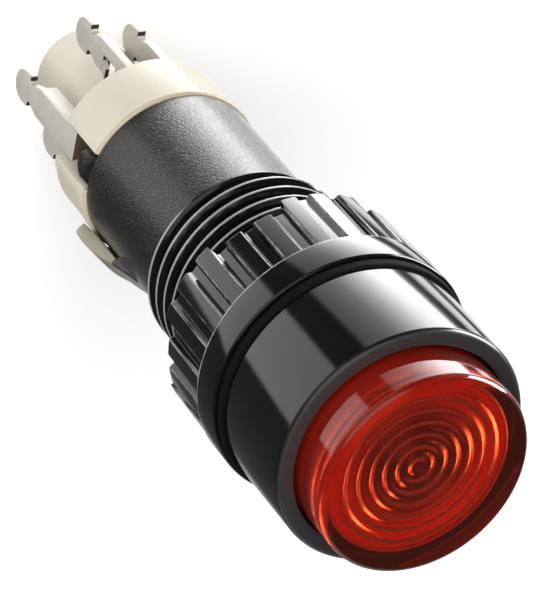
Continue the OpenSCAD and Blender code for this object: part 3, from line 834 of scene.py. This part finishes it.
def nut_rule(nodes, start, size):
    """Presses grooves between the ribs into a turned nut and cuts spanner notches in its rear edge."""
    x, y, z = nodes.parts(nodes.add("GeometryNodeInputPosition"))
    r = from_axis(x, y)
    lap, from_top = rib_shares(x, y, size["Turn"], size["Rib Turn"], size["Ribs"])
    groove = from_top.step(RIB_TOP, RIB_SIDE_END)
    behind = 1 - z.step(size["Rib Front"] - GROOVE_FADE * MM, size["Rib Front"])
    outside = r.step(size["Radius"] - GROOVED_FROM * MM, size["Radius"] - GROOVED_FULLY * MM)
    pressed = groove * behind * outside * size["Rib Depth"]
    notch = (lap * size["Notches"] + 0.5).from_middle()
    cut = 1 - notch.step(NOTCH_HALF - NOTCH_SIDE, NOTCH_HALF + NOTCH_SIDE)
    rear = 1 - z.step(size["Rear"] + NOTCHED_TO * MM, size["Rear"] + (NOTCHED_TO + NOTCH_FADE) * MM)
    raised = cut * rear * size["Notch Depth"]
    offset = nodes.vector(x / r * pressed * -1, y / r * pressed * -1, raised)
    return nodes.add("GeometryNodeSetPosition", {}, {"Geometry": start, "Offset": offset})


def ring_nut(material):
    """Nut with a smooth flange, drafted grip ribs and spanner notches."""
    rib_r = NUT_R - RIB_STEP
    blank = turned(softened([
        (NUT_BORE_R, nut_front, MOULDED_ROUND), (NUT_R, nut_front, FLANGE_FRONT_ROUND),
        (NUT_R, rib_front, FLANGE_REAR_ROUND), (rib_r, rib_front - RIB_STEP_SLOPE, RIB_STEP_ROUND),
        (rib_r, rib_front - DRAFT_START, SHARP), (NUT_R - RIB_DRAFT, nut_rear, MOULDED_ROUND),
        (NUT_BORE_R, nut_rear, SOFT_ROUND)], steps=4), RIBS * RIB_STEPS)
    sizes = {
        "Ribs": RIBS, "Rib Turn": RIB_TURN / CIRCLE, "Turn": NUT_ANGLE / CIRCLE, "Notches": NOTCHES,
        "Rib Front": rib_front * MM, "Radius": NUT_R * MM, "Rib Depth": RIB_DEPTH * MM,
        "Rear": nut_rear * MM, "Notch Depth": NOTCH_DEPTH * MM}
    return grown_mesh("ring_nut", plain_mesh("nut_blank", [blank]), material, sizes, nut_rule)


def lens_cap():
    """Clear cap with ring ripples on the inner face of its thick front."""
    path = softened([
        (0, lens_top, SHARP), (lens_r, lens_top, LENS_EDGE), (lens_r, lens_bottom, MOULDED_ROUND),
        (LENS_IN_R, lens_bottom, SMALL_ROUND), (LENS_IN_R, LENS_FACE, LENS_FACE_ROUND),
        (0, LENS_FACE, SHARP)], steps=8)
    middle = path.pop()
    start_r = RING_FIRST - RING_PITCH / 2
    for step in reversed(range(RING_COUNT * RIPPLE_STEPS + 1)):
        lap = step / RIPPLE_STEPS
        rise = RING_DEPTH * (1 - math.cos(TURN * lap)) / 2
        path.append(Vector((start_r + lap * RING_PITCH, LENS_FACE + rise)))
    path.append(middle)
    return plain_mesh("lens", [turned(path, LENS_STEPS)])


def gasket():
    """Flat ring with rounded edges between the collar and the nut."""
    hole_r = THREAD_R + GASKET_GAP
    return plain_mesh("gasket", [turned(softened([
        (hole_r, gasket_rear, SMALL_ROUND), (gasket_r, gasket_rear, SOFT_ROUND),
        (gasket_r, 0, SOFT_ROUND), (hole_r, 0, SMALL_ROUND)]))])


def joined_copy(node):
    """Copy of a node's solid with its loose triangles joined into plain faces."""
    mesh = frame["nodes"][node].data.copy()
    shape = bmesh.new()
    shape.from_mesh(mesh)
    bmesh.ops.remove_doubles(shape, verts=shape.verts, dist=SAME_POINT)
    flat = math.radians(FLAT_EDGE)
    bmesh.ops.dissolve_limit(shape, angle_limit=flat, verts=shape.verts, edges=shape.edges)
    shape.to_mesh(mesh)
    shape.free()
    return mesh


def eased_copy(node, edge):
    """Copy of a node's solid with its sharp edges eased by a small bevel."""
    rough = show(node + "_rough", joined_copy(node))
    bevel = rough.modifiers.new("eased", "BEVEL")
    bevel.width = edge * MM
    bevel.segments = BEVEL_STEPS
    bevel.limit_method = "ANGLE"
    bevel.angle_limit = math.radians(CREASE)
    finished = finished_mesh(rough)
    bpy.data.objects.remove(rough)
    return finished


def coil_spring(material):
    """The return spring, a merged copy of its node's wire that rides on the housing."""
    rear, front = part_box("return_spring")
    press = next(joint for joint in frame["joints"] if joint["name"] == "button_press")
    pressed_share = 1 - max(press["range_m"]) / (front.z - rear.z)
    wire = joined_copy("return_spring")
    spring = add_piece("coil_spring", wire, material, "housing", "return_spring", WIRE_CREASE)
    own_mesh(spring)


def dress(node, material):
    """New finish on a node that keeps its solid."""
    mesh = frame["nodes"][node].data
    mesh.materials.clear()
    mesh.materials.append(material)


def build_button():
    """Every piece in its finish: the dressed ones first, then the nodes that keep their solids."""
    black = black_plastic()
    textured = black_housing()
    nut_black = black_nut()
    tinned = strip_metal("tinned_strip", **TINNED)
    bronze = strip_metal("spring_bronze", **BRONZE)
    silver = strip_metal("contact_silver", **SILVER)
    steel = strip_metal("spring_steel", **STEEL)
    cup = eased_copy("reflector", REFLECTOR_EASE)
    base = eased_copy("terminal_base", BASE_EASE)
    clip = eased_copy("locking_clip", CLIP_EASE)
    add_piece("housing_moulding", housing(textured), textured, "housing", "housing")
    add_piece("gasket_ring", gasket(), gasket_rubber(), "housing", "panel_gasket")
    add_piece("ribbed_nut", ring_nut(nut_black), nut_black, "nut", "ring_nut")
    add_piece("red_lens", lens_cap(), red_lens_plastic(), "button", "lens_cap")
    add_piece("white_reflector", cup, white_reflector(), "button", "reflector")
    add_piece("cream_base", base, cream_plastic(), "housing", "terminal_base")
    add_piece("bronze_clip", clip, bronze, "housing", "locking_clip")
    for kind in ("make", "break", "lamp"):
        for number in (1, 2):
            node = f"{kind}_terminal_{number}"
            add_piece(f"{kind}_strip_{number}", eased_copy(node, STRIP_EASE), tinned, "housing", node)
    coil_spring(steel)
    for node in ("plunger", "contact_carrier", "lamp_base"):
        dress(node, black)
    dress("lamp_bulb", lamp_glass())
    dress("lamp_contact_plates", tinned)
    for kind in ("make", "break"):
        dress(f"{kind}_bridge", bronze)
        dress(f"{kind}_bridge_contacts", silver)
        dress(f"{kind}_fixed_contacts", silver)


def round_lamp(nodes, direction, stands, level, core, edge):
    """Soft disc of light: its full level inside the core angle, none past the edge angle."""
    middle = Vector(stands).normalized()
    facing = nodes.add("ShaderNodeVectorMath", {"operation": "DOT_PRODUCT"},
                       {0: direction, 1: middle}, "Value")
    return facing.step(math.cos(math.radians(edge)), math.cos(math.radians(core))) * level


def studio():
    """Soft boxes low round the object, walls, a strip and three round lamps, before a white backdrop."""
    world = bpy.data.worlds.new("Studio")
    bpy.context.scene.world = world
    world.use_nodes = True
    nodes = Nodes(world.node_tree)
    direction = nodes.add("ShaderNodeTexCoord", output="Generated")
    x, y, z = nodes.parts(direction)
    share = (y.math("ARCTAN2", x) / TURN + 1).math("FRACT")
    stops = [(angle / CIRCLE, level / BOX_FULL) for angle, level in BOX_LEVELS]
    ramp = nodes.add("ShaderNodeValToRGB", {"stops": stops}, {0: share})
    boxes = nodes.add("ShaderNodeSeparateColor", {}, {0: ramp}) * BOX_FULL * z.between(*BOX_BAND)
    below = (1 - z.step(BELOW_FULL, BELOW_END)) * BELOW_LEVEL
    ambient = AMBIENT_LEVEL + z.step(AMBIENT_LOW, AMBIENT_HIGH) * AMBIENT_LEVEL
    front = round_lamp(nodes, direction, **FRONT_LAMP)
    fill = round_lamp(nodes, direction, **FILL_LAMP)
    sparkle = round_lamp(nodes, direction, **RING_LAMP)
    fade = STRIP_FADE / CIRCLE
    across = share.between(STRIP_FROM / CIRCLE, STRIP_TO / CIRCLE, fade, fade)
    strip = across * z.between(*STRIP_BAND) * STRIP_LEVEL
    lobes = (share * (WALLS * TURN)).math("SINE")
    walls = z.between(*WALL_BAND) * (WALL_LEVEL + lobes * WALL_SWING)
    seen = nodes.add("ShaderNodeLightPath", output="Is Camera Ray")
    glossy = nodes.add("ShaderNodeLightPath", output="Is Glossy Ray")
    through = nodes.add("ShaderNodeLightPath", output="Is Transmission Ray")
    mirrored = glossy * (1 - through)
    matte = (1 - glossy) * (1 - through)
    from_boxes = boxes * (1 - matte * BOX_HELD_BACK)
    from_front = front * (1 - mirrored * FRONT_HIDDEN)
    chosen = matte * fill + mirrored * (strip + walls) + through * sparkle
    backdrop = (glossy + through) * MIRRORED_BACKDROP
    light = from_boxes + from_front + below + ambient + chosen + backdrop
    level = seen + (1 - seen) * light
    shader = nodes.add("ShaderNodeBackground", {}, {"Color": grey(1), "Strength": level})
    nodes.add("ShaderNodeOutputWorld", {}, {"Surface": shader})


def floor():
    """Pale ground under the lamp tube, which the camera sees and the reflections don't."""
    low = tube_end * MM - FLOOR_GAP
    mesh = bpy.data.meshes.new("floor")
    sides = ((-1, -1), (1, -1), (1, 1), (-1, 1))
    mesh.from_pydata([(x * FLOOR_HALF, y * FLOOR_HALF, low) for x, y in sides], [], [(0, 1, 2, 3)])
    ground = show("floor", mesh)
    material, nodes = new_material("floor_white")
    cloud = nodes.noise(nodes.place(), scale=0.01)
    paint = nodes.mix(cloud, grey(0.9), grey(0.92))
    matte = nodes.add("ShaderNodeBsdfDiffuse", {}, {"Color": paint})
    glow = nodes.add("ShaderNodeEmission", {}, {"Color": grey(1), "Strength": FLOOR_GLOW})
    both = nodes.add("ShaderNodeAddShader", {}, {0: matte, 1: glow})
    nodes.add("ShaderNodeOutputMaterial", {}, {"Surface": both})
    mesh.materials.append(material)
    ground.visible_glossy = False
    ground.visible_diffuse = False
    ground.visible_transmission = False
    ground.visible_shadow = False


def camera():
    """The photograph's own viewpoint."""
    data = bpy.data.cameras.new("camera")
    data.lens = CAMERA_LENS
    data.sensor_width = CAMERA_SENSOR
    data.clip_end = CAMERA_DEPTH
    view = show("camera", data)
    turn = Matrix((CAMERA_RIGHT, CAMERA_UP, CAMERA_BACK)).transposed().to_4x4()
    view.matrix_world = Matrix.Translation(CAMERA_PLACE) @ turn
    bpy.context.scene.camera = view


build_button()
studio()
floor()
camera()
bpy.context.scene.view_settings.view_transform = "Standard"
